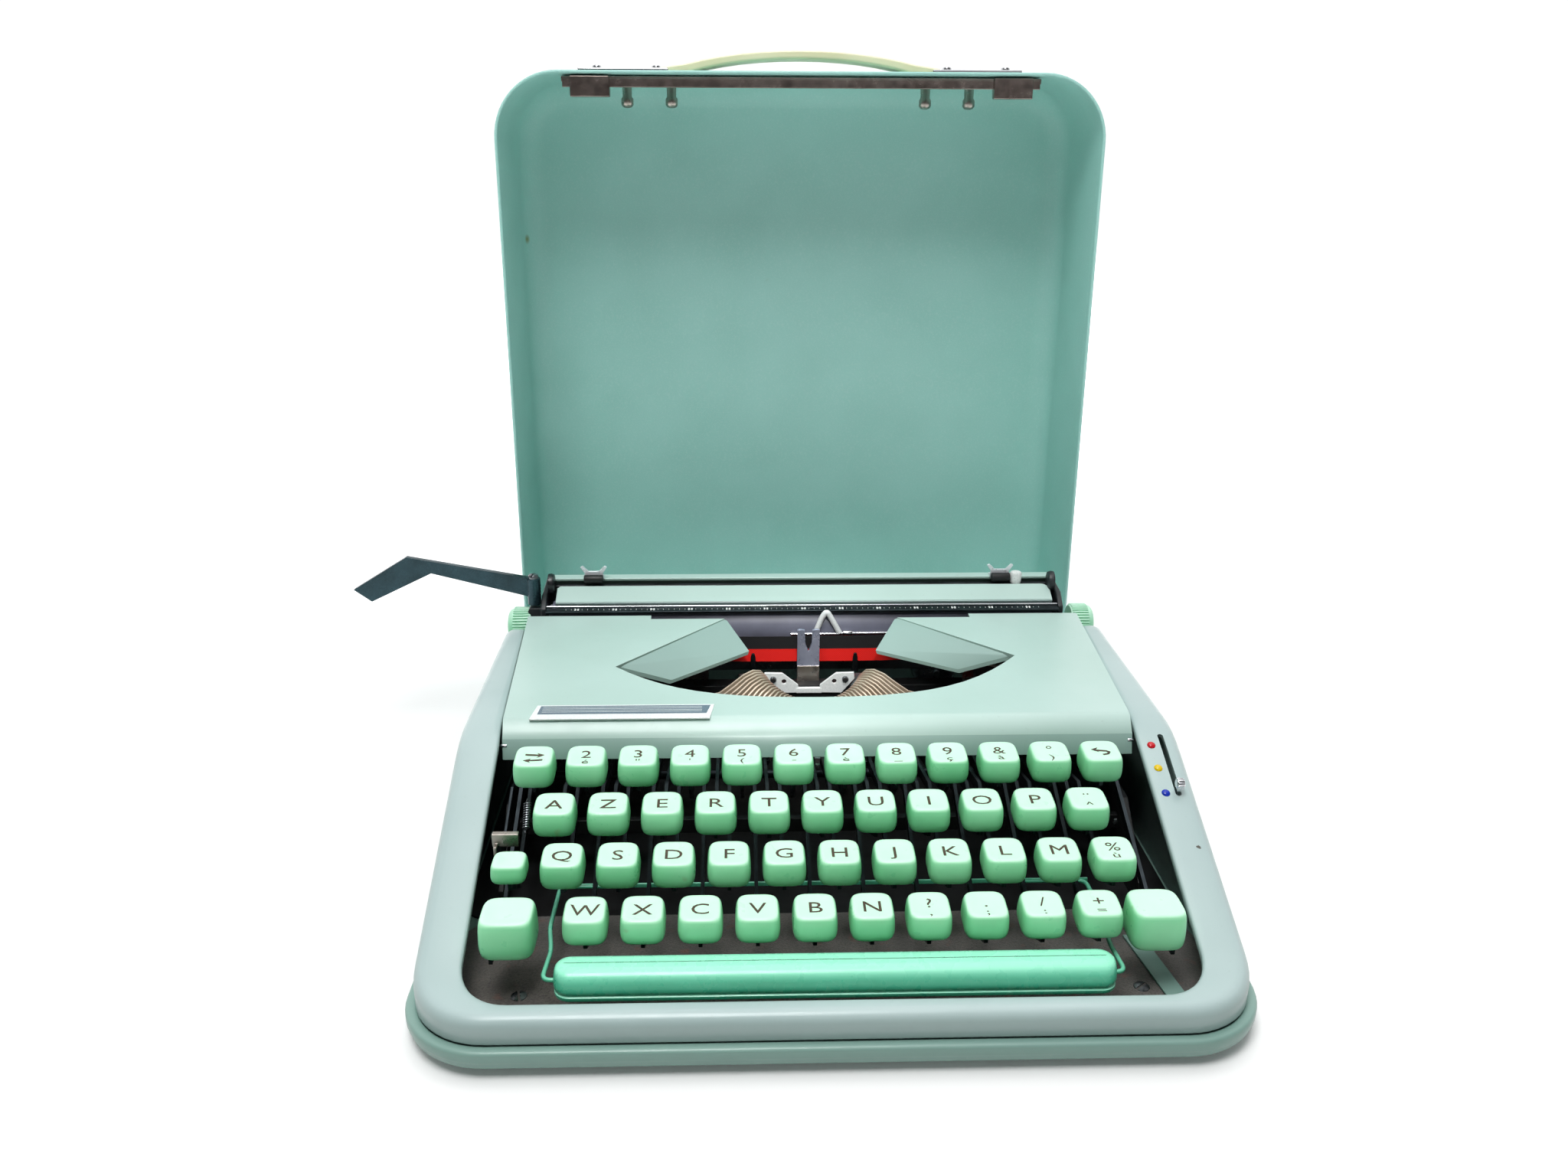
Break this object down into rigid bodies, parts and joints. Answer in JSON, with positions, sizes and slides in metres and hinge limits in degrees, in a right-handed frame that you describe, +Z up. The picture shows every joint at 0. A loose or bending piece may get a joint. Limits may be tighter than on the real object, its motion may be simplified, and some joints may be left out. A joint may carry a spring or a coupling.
{
  "type": "portable typewriter",
  "caption": "Portable manual typewriter in its own hinged carrying case, with moving keys, spacebar, shift, carriage, platen, return lever, ribbon cover and lid.",
  "frame": {"origin": "on the desk under the middle of the tray, at the height of the undersides of the feet", "axes": "+X to the typist's right, +Y away from the typist, +Z up"},
  "size_m": [0.3537, 0.3668, 0.3144],
  "materials": {
    "shell_enamel": "stoved grey-green enamel, semi-gloss",
    "tray_enamel": "stoved sage enamel, semi-gloss",
    "lid_enamel": "stoved teal-green enamel, fine texture",
    "key_plastic": "moulded mint plastic",
    "bar_plastic": "moulded aqua-mint plastic",
    "black_steel": "black stoved steel",
    "bare_steel": "ground steel",
    "chrome_plate": "bright chrome",
    "platen_rubber": "ground rubber",
    "cream_plastic": "cream moulded plastic",
    "lever_enamel": "blue-grey metallic enamel"
  },
  "bodies": {
    "machine": {"base_tray": "tray_enamel", "body_shell": "shell_enamel", "machine_frame": "black_steel"},
    "cover": {"ribbon_cover": "shell_enamel"},
    "case_lid": {"lid": "lid_enamel", "carry_handle": "cream_plastic"},
    "latch": {"latch_bar": "chrome_plate"},
    "rail": {"carriage_rail": "bare_steel"},
    "carriage": {"carriage_frame": "black_steel"},
    "platen_roller": {"platen": "platen_rubber"},
    "line_space_lever": {"return_lever": "lever_enamel"},
    "selector": {"ribbon_selector": "chrome_plate"},
    "bar": {"space_bar": "bar_plastic"},
    "shift": {"shift_bail": "key_plastic"},
    "lock": {"shift_lock": "key_plastic"},
    "margin": {"margin_release": "chrome_plate"},
    "tab_key_lever": {"tab_key": "key_plastic"},
    "key_2_lever": {"key_2": "key_plastic"},
    "key_3_lever": {"key_3": "key_plastic"},
    "key_4_lever": {"key_4": "key_plastic"},
    "key_5_lever": {"key_5": "key_plastic"},
    "key_6_lever": {"key_6": "key_plastic"},
    "key_7_lever": {"key_7": "key_plastic"},
    "key_8_lever": {"key_8": "key_plastic"},
    "key_9_lever": {"key_9": "key_plastic"},
    "key_ampersand_lever": {"key_ampersand": "key_plastic"},
    "key_degree_lever": {"key_degree": "key_plastic"},
    "backspace_key_lever": {"backspace_key": "key_plastic"},
    "key_A_lever": {"key_A": "key_plastic"},
    "key_Z_lever": {"key_Z": "key_plastic"},
    "key_E_lever": {"key_E": "key_plastic"},
    "key_R_lever": {"key_R": "key_plastic"},
    "key_T_lever": {"key_T": "key_plastic"},
    "key_Y_lever": {"key_Y": "key_plastic"},
    "key_U_lever": {"key_U": "key_plastic"},
    "key_I_lever": {"key_I": "key_plastic"},
    "key_O_lever": {"key_O": "key_plastic"},
    "key_P_lever": {"key_P": "key_plastic"},
    "key_diaeresis_lever": {"key_diaeresis": "key_plastic"},
    "key_Q_lever": {"key_Q": "key_plastic"},
    "key_S_lever": {"key_S": "key_plastic"},
    "key_D_lever": {"key_D": "key_plastic"},
    "key_F_lever": {"key_F": "key_plastic"},
    "key_G_lever": {"key_G": "key_plastic"},
    "key_H_lever": {"key_H": "key_plastic"},
    "key_J_lever": {"key_J": "key_plastic"},
    "key_K_lever": {"key_K": "key_plastic"},
    "key_L_lever": {"key_L": "key_plastic"},
    "key_M_lever": {"key_M": "key_plastic"},
    "key_percent_lever": {"key_percent": "key_plastic"},
    "key_W_lever": {"key_W": "key_plastic"},
    "key_X_lever": {"key_X": "key_plastic"},
    "key_C_lever": {"key_C": "key_plastic"},
    "key_V_lever": {"key_V": "key_plastic"},
    "key_B_lever": {"key_B": "key_plastic"},
    "key_N_lever": {"key_N": "key_plastic"},
    "key_question_lever": {"key_question": "key_plastic"},
    "key_semicolon_lever": {"key_semicolon": "key_plastic"},
    "key_slash_lever": {"key_slash": "key_plastic"},
    "key_plus_lever": {"key_plus": "key_plastic"}
  },
  "joints": [
    {"name": "lid_hinge", "type": "hinge", "parent": "machine", "child": "case_lid", "pos_m": [0, 0.1475, 0.012], "axis": [-1, 0, 0], "range_deg": [-25, 0]},
    {"name": "cover_hinge", "type": "hinge", "parent": "machine", "child": "cover", "pos_m": [0, -0.0295, 0.058], "axis": [1, 0, 0], "range_deg": [0, 80]},
    {"name": "carriage_lift", "type": "slide", "parent": "machine", "child": "rail", "axis": [0, 0, 1], "range_m": [0, 0.006]},
    {"name": "carriage_slide", "type": "slide", "parent": "rail", "child": "carriage", "axis": [1, 0, 0], "range_m": [-0.1, 0.1]},
    {"name": "platen_spin", "type": "hinge", "parent": "carriage", "child": "platen_roller", "pos_m": [0, 0.1005, 0.056], "axis": [1, 0, 0], "continuous": true},
    {"name": "return_lever_hinge", "type": "hinge", "parent": "carriage", "child": "line_space_lever", "pos_m": [-0.1277, 0.1005, 0.075], "axis": [0, 0, 1], "range_deg": [0, 80], "stiffness_Nm_per_rad": 0.02, "springref_deg": -17.19},
    {"name": "latch_slide", "type": "slide", "parent": "case_lid", "child": "latch", "axis": [1, 0, 0], "range_m": [0, 0.005], "stiffness_N_per_m": 200, "springref_m": -0.01},
    {"name": "selector_slide", "type": "slide", "parent": "machine", "child": "selector", "axis": [0, 0.9124, 0.4094], "range_m": [0, 0.0225]},
    {"name": "space_bar_hinge", "type": "hinge", "parent": "machine", "child": "bar", "pos_m": [0, -0.068, 0.02], "axis": [1, 0, 0], "range_deg": [0, 7], "stiffness_Nm_per_rad": 0.3, "springref_deg": -11.46},
    {"name": "shift_hinge", "type": "hinge", "parent": "machine", "child": "shift", "pos_m": [0, 0.02, 0.018], "axis": [1, 0, 0], "range_deg": [0, 3.6]},
    {"name": "shift_lock_hinge", "type": "hinge", "parent": "machine", "child": "lock", "pos_m": [0, 0.02, 0.034], "axis": [1, 0, 0], "range_deg": [0, 2.6], "stiffness_Nm_per_rad": 0.3, "springref_deg": -11.46},
    {"name": "margin_release_hinge", "type": "hinge", "parent": "machine", "child": "margin", "pos_m": [0, 0.02, 0.034], "axis": [1, 0, 0], "range_deg": [0, 2.4], "stiffness_Nm_per_rad": 0.3, "springref_deg": -11.46},
    {"name": "tab_key_hinge", "type": "hinge", "parent": "machine", "child": "tab_key_lever", "pos_m": [0, 0.02, 0.034], "axis": [1, 0, 0], "range_deg": [0, 6.5], "stiffness_Nm_per_rad": 0.3, "springref_deg": -11.46},
    {"name": "backspace_key_hinge", "type": "hinge", "parent": "machine", "child": "backspace_key_lever", "pos_m": [0, 0.02, 0.034], "axis": [1, 0, 0], "range_deg": [0, 6.5], "stiffness_Nm_per_rad": 0.3, "springref_deg": -11.46},
    {"name": "key_A_hinge", "type": "hinge", "parent": "machine", "child": "key_A_lever", "pos_m": [0, 0.02, 0.034], "axis": [1, 0, 0], "range_deg": [0, 5.09], "stiffness_Nm_per_rad": 0.3, "springref_deg": -11.46},
    {"name": "key_M_hinge", "type": "hinge", "parent": "machine", "child": "key_M_lever", "pos_m": [0, 0.02, 0.034], "axis": [1, 0, 0], "range_deg": [0, 4.19], "stiffness_Nm_per_rad": 0.3, "springref_deg": -11.46},
    {"name": "key_W_hinge", "type": "hinge", "parent": "machine", "child": "key_W_lever", "pos_m": [0, 0.02, 0.034], "axis": [1, 0, 0], "range_deg": [0, 3.55], "stiffness_Nm_per_rad": 0.3, "springref_deg": -11.46},
    {"name": "key_plus_hinge", "type": "hinge", "parent": "machine", "child": "key_plus_lever", "pos_m": [0, 0.02, 0.034], "axis": [1, 0, 0], "range_deg": [0, 3.55], "stiffness_Nm_per_rad": 0.3, "springref_deg": -11.46},
    {"name": "key_2_hinge", "type": "hinge", "parent": "machine", "child": "key_2_lever", "pos_m": [0, 0.02, 0.034], "axis": [1, 0, 0], "range_deg": [0, 6.5], "stiffness_Nm_per_rad": 0.3, "springref_deg": -11.46},
    {"name": "key_3_hinge", "type": "hinge", "parent": "machine", "child": "key_3_lever", "pos_m": [0, 0.02, 0.034], "axis": [1, 0, 0], "range_deg": [0, 6.5], "stiffness_Nm_per_rad": 0.3, "springref_deg": -11.46},
    {"name": "key_4_hinge", "type": "hinge", "parent": "machine", "child": "key_4_lever", "pos_m": [0, 0.02, 0.034], "axis": [1, 0, 0], "range_deg": [0, 6.5], "stiffness_Nm_per_rad": 0.3, "springref_deg": -11.46},
    {"name": "key_5_hinge", "type": "hinge", "parent": "machine", "child": "key_5_lever", "pos_m": [0, 0.02, 0.034], "axis": [1, 0, 0], "range_deg": [0, 6.5], "stiffness_Nm_per_rad": 0.3, "springref_deg": -11.46},
    {"name": "key_6_hinge", "type": "hinge", "parent": "machine", "child": "key_6_lever", "pos_m": [0, 0.02, 0.034], "axis": [1, 0, 0], "range_deg": [0, 6.5], "stiffness_Nm_per_rad": 0.3, "springref_deg": -11.46},
    {"name": "key_7_hinge", "type": "hinge", "parent": "machine", "child": "key_7_lever", "pos_m": [0, 0.02, 0.034], "axis": [1, 0, 0], "range_deg": [0, 6.5], "stiffness_Nm_per_rad": 0.3, "springref_deg": -11.46},
    {"name": "key_8_hinge", "type": "hinge", "parent": "machine", "child": "key_8_lever", "pos_m": [0, 0.02, 0.034], "axis": [1, 0, 0], "range_deg": [0, 6.5], "stiffness_Nm_per_rad": 0.3, "springref_deg": -11.46},
    {"name": "key_9_hinge", "type": "hinge", "parent": "machine", "child": "key_9_lever", "pos_m": [0, 0.02, 0.034], "axis": [1, 0, 0], "range_deg": [0, 6.5], "stiffness_Nm_per_rad": 0.3, "springref_deg": -11.46},
    {"name": "key_ampersand_hinge", "type": "hinge", "parent": "machine", "child": "key_ampersand_lever", "pos_m": [0, 0.02, 0.034], "axis": [1, 0, 0], "range_deg": [0, 6.5], "stiffness_Nm_per_rad": 0.3, "springref_deg": -11.46},
    {"name": "key_degree_hinge", "type": "hinge", "parent": "machine", "child": "key_degree_lever", "pos_m": [0, 0.02, 0.034], "axis": [1, 0, 0], "range_deg": [0, 6.5], "stiffness_Nm_per_rad": 0.3, "springref_deg": -11.46},
    {"name": "key_Z_hinge", "type": "hinge", "parent": "machine", "child": "key_Z_lever", "pos_m": [0, 0.02, 0.034], "axis": [1, 0, 0], "range_deg": [0, 5.09], "stiffness_Nm_per_rad": 0.3, "springref_deg": -11.46},
    {"name": "key_E_hinge", "type": "hinge", "parent": "machine", "child": "key_E_lever", "pos_m": [0, 0.02, 0.034], "axis": [1, 0, 0], "range_deg": [0, 5.09], "stiffness_Nm_per_rad": 0.3, "springref_deg": -11.46},
    {"name": "key_R_hinge", "type": "hinge", "parent": "machine", "child": "key_R_lever", "pos_m": [0, 0.02, 0.034], "axis": [1, 0, 0], "range_deg": [0, 5.09], "stiffness_Nm_per_rad": 0.3, "springref_deg": -11.46},
    {"name": "key_T_hinge", "type": "hinge", "parent": "machine", "child": "key_T_lever", "pos_m": [0, 0.02, 0.034], "axis": [1, 0, 0], "range_deg": [0, 5.09], "stiffness_Nm_per_rad": 0.3, "springref_deg": -11.46},
    {"name": "key_Y_hinge", "type": "hinge", "parent": "machine", "child": "key_Y_lever", "pos_m": [0, 0.02, 0.034], "axis": [1, 0, 0], "range_deg": [0, 5.09], "stiffness_Nm_per_rad": 0.3, "springref_deg": -11.46},
    {"name": "key_U_hinge", "type": "hinge", "parent": "machine", "child": "key_U_lever", "pos_m": [0, 0.02, 0.034], "axis": [1, 0, 0], "range_deg": [0, 5.09], "stiffness_Nm_per_rad": 0.3, "springref_deg": -11.46},
    {"name": "key_I_hinge", "type": "hinge", "parent": "machine", "child": "key_I_lever", "pos_m": [0, 0.02, 0.034], "axis": [1, 0, 0], "range_deg": [0, 5.09], "stiffness_Nm_per_rad": 0.3, "springref_deg": -11.46},
    {"name": "key_O_hinge", "type": "hinge", "parent": "machine", "child": "key_O_lever", "pos_m": [0, 0.02, 0.034], "axis": [1, 0, 0], "range_deg": [0, 5.09], "stiffness_Nm_per_rad": 0.3, "springref_deg": -11.46},
    {"name": "key_P_hinge", "type": "hinge", "parent": "machine", "child": "key_P_lever", "pos_m": [0, 0.02, 0.034], "axis": [1, 0, 0], "range_deg": [0, 5.09], "stiffness_Nm_per_rad": 0.3, "springref_deg": -11.46},
    {"name": "key_diaeresis_hinge", "type": "hinge", "parent": "machine", "child": "key_diaeresis_lever", "pos_m": [0, 0.02, 0.034], "axis": [1, 0, 0], "range_deg": [0, 5.09], "stiffness_Nm_per_rad": 0.3, "springref_deg": -11.46},
    {"name": "key_Q_hinge", "type": "hinge", "parent": "machine", "child": "key_Q_lever", "pos_m": [0, 0.02, 0.034], "axis": [1, 0, 0], "range_deg": [0, 4.19], "stiffness_Nm_per_rad": 0.3, "springref_deg": -11.46},
    {"name": "key_S_hinge", "type": "hinge", "parent": "machine", "child": "key_S_lever", "pos_m": [0, 0.02, 0.034], "axis": [1, 0, 0], "range_deg": [0, 4.19], "stiffness_Nm_per_rad": 0.3, "springref_deg": -11.46},
    {"name": "key_D_hinge", "type": "hinge", "parent": "machine", "child": "key_D_lever", "pos_m": [0, 0.02, 0.034], "axis": [1, 0, 0], "range_deg": [0, 4.19], "stiffness_Nm_per_rad": 0.3, "springref_deg": -11.46},
    {"name": "key_F_hinge", "type": "hinge", "parent": "machine", "child": "key_F_lever", "pos_m": [0, 0.02, 0.034], "axis": [1, 0, 0], "range_deg": [0, 4.19], "stiffness_Nm_per_rad": 0.3, "springref_deg": -11.46},
    {"name": "key_G_hinge", "type": "hinge", "parent": "machine", "child": "key_G_lever", "pos_m": [0, 0.02, 0.034], "axis": [1, 0, 0], "range_deg": [0, 4.19], "stiffness_Nm_per_rad": 0.3, "springref_deg": -11.46},
    {"name": "key_H_hinge", "type": "hinge", "parent": "machine", "child": "key_H_lever", "pos_m": [0, 0.02, 0.034], "axis": [1, 0, 0], "range_deg": [0, 4.19], "stiffness_Nm_per_rad": 0.3, "springref_deg": -11.46},
    {"name": "key_J_hinge", "type": "hinge", "parent": "machine", "child": "key_J_lever", "pos_m": [0, 0.02, 0.034], "axis": [1, 0, 0], "range_deg": [0, 4.19], "stiffness_Nm_per_rad": 0.3, "springref_deg": -11.46},
    {"name": "key_K_hinge", "type": "hinge", "parent": "machine", "child": "key_K_lever", "pos_m": [0, 0.02, 0.034], "axis": [1, 0, 0], "range_deg": [0, 4.19], "stiffness_Nm_per_rad": 0.3, "springref_deg": -11.46},
    {"name": "key_L_hinge", "type": "hinge", "parent": "machine", "child": "key_L_lever", "pos_m": [0, 0.02, 0.034], "axis": [1, 0, 0], "range_deg": [0, 4.19], "stiffness_Nm_per_rad": 0.3, "springref_deg": -11.46},
    {"name": "key_percent_hinge", "type": "hinge", "parent": "machine", "child": "key_percent_lever", "pos_m": [0, 0.02, 0.034], "axis": [1, 0, 0], "range_deg": [0, 4.19], "stiffness_Nm_per_rad": 0.3, "springref_deg": -11.46},
    {"name": "key_X_hinge", "type": "hinge", "parent": "machine", "child": "key_X_lever", "pos_m": [0, 0.02, 0.034], "axis": [1, 0, 0], "range_deg": [0, 3.55], "stiffness_Nm_per_rad": 0.3, "springref_deg": -11.46},
    {"name": "key_C_hinge", "type": "hinge", "parent": "machine", "child": "key_C_lever", "pos_m": [0, 0.02, 0.034], "axis": [1, 0, 0], "range_deg": [0, 3.55], "stiffness_Nm_per_rad": 0.3, "springref_deg": -11.46},
    {"name": "key_V_hinge", "type": "hinge", "parent": "machine", "child": "key_V_lever", "pos_m": [0, 0.02, 0.034], "axis": [1, 0, 0], "range_deg": [0, 3.55], "stiffness_Nm_per_rad": 0.3, "springref_deg": -11.46},
    {"name": "key_B_hinge", "type": "hinge", "parent": "machine", "child": "key_B_lever", "pos_m": [0, 0.02, 0.034], "axis": [1, 0, 0], "range_deg": [0, 3.55], "stiffness_Nm_per_rad": 0.3, "springref_deg": -11.46},
    {"name": "key_N_hinge", "type": "hinge", "parent": "machine", "child": "key_N_lever", "pos_m": [0, 0.02, 0.034], "axis": [1, 0, 0], "range_deg": [0, 3.55], "stiffness_Nm_per_rad": 0.3, "springref_deg": -11.46},
    {"name": "key_question_hinge", "type": "hinge", "parent": "machine", "child": "key_question_lever", "pos_m": [0, 0.02, 0.034], "axis": [1, 0, 0], "range_deg": [0, 3.55], "stiffness_Nm_per_rad": 0.3, "springref_deg": -11.46},
    {"name": "key_semicolon_hinge", "type": "hinge", "parent": "machine", "child": "key_semicolon_lever", "pos_m": [0, 0.02, 0.034], "axis": [1, 0, 0], "range_deg": [0, 3.55], "stiffness_Nm_per_rad": 0.3, "springref_deg": -11.46},
    {"name": "key_slash_hinge", "type": "hinge", "parent": "machine", "child": "key_slash_lever", "pos_m": [0, 0.02, 0.034], "axis": [1, 0, 0], "range_deg": [0, 3.55], "stiffness_Nm_per_rad": 0.3, "springref_deg": -11.46}
  ],
  "couplings": [
    {"joint": "shift_hinge", "follows": "carriage_lift", "rad_per_m": 10.25}
  ]
}
